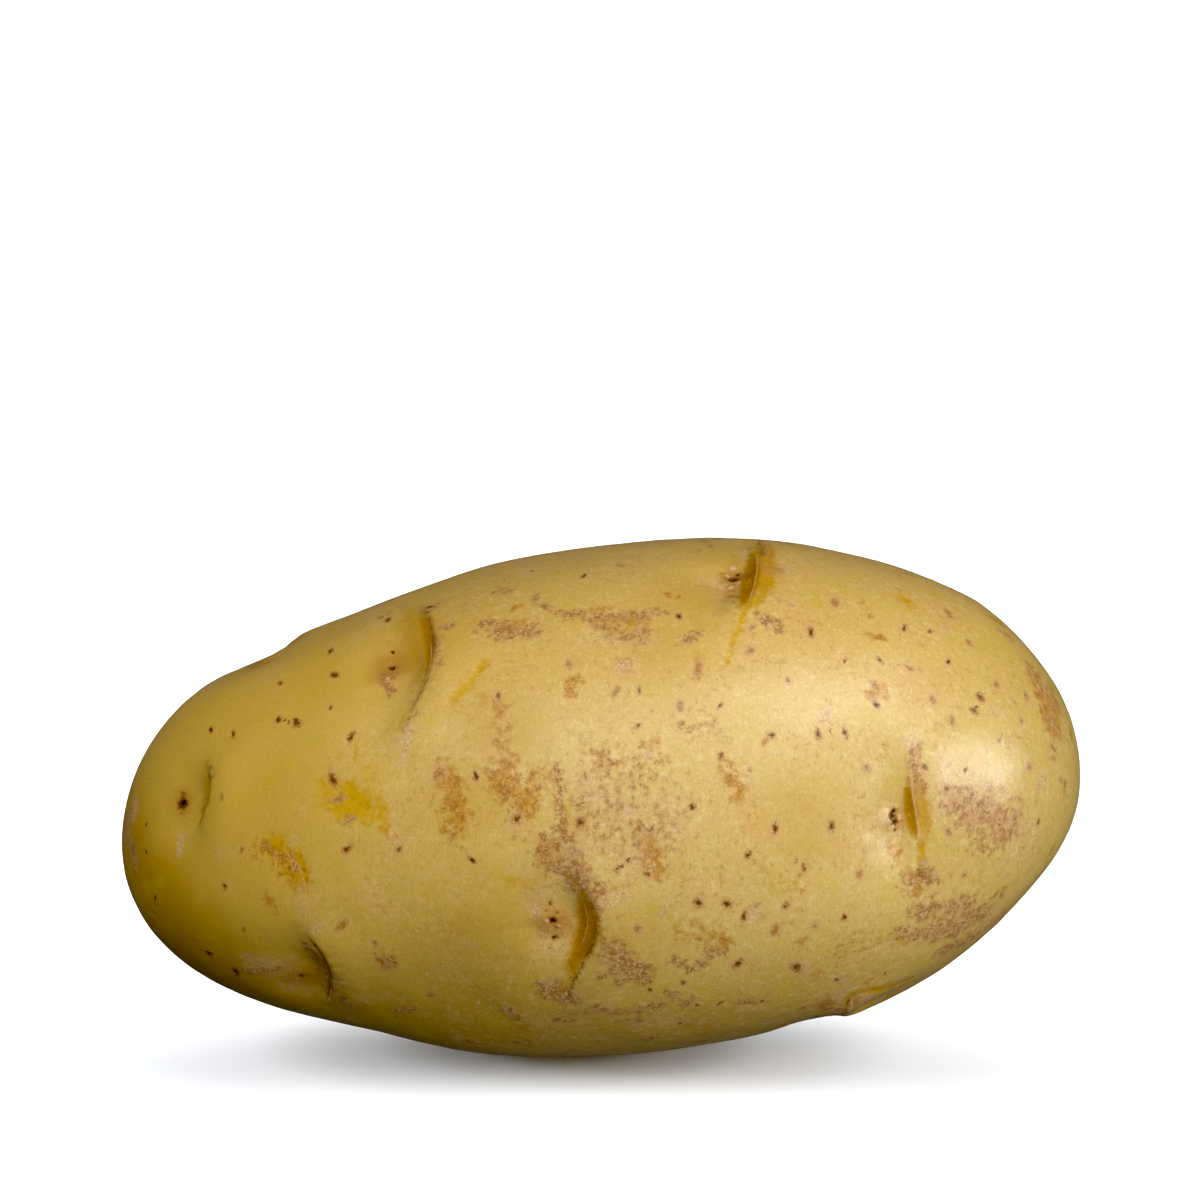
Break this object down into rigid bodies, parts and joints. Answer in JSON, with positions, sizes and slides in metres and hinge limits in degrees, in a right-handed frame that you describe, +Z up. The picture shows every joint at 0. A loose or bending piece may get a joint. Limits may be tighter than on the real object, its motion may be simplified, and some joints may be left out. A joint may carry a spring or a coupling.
{
  "type": "potato",
  "caption": "Long oval washed potato lying on its belly, with a tapered rose end, a fuller stem end and browed eyes.",
  "frame": {"origin": "centre of the bounding box's bottom face, on the surface that the potato lies on", "axes": "+X along the tuber towards its stem end, -Y the side that the picture shows, +Z up"},
  "size_m": [0.1148, 0.0648, 0.0617],
  "materials": {
    "potato_skin": "washed waxy potato skin, satin"
  },
  "bodies": {
    "root": {"potato": "potato_skin"}
  },
  "joints": []
}
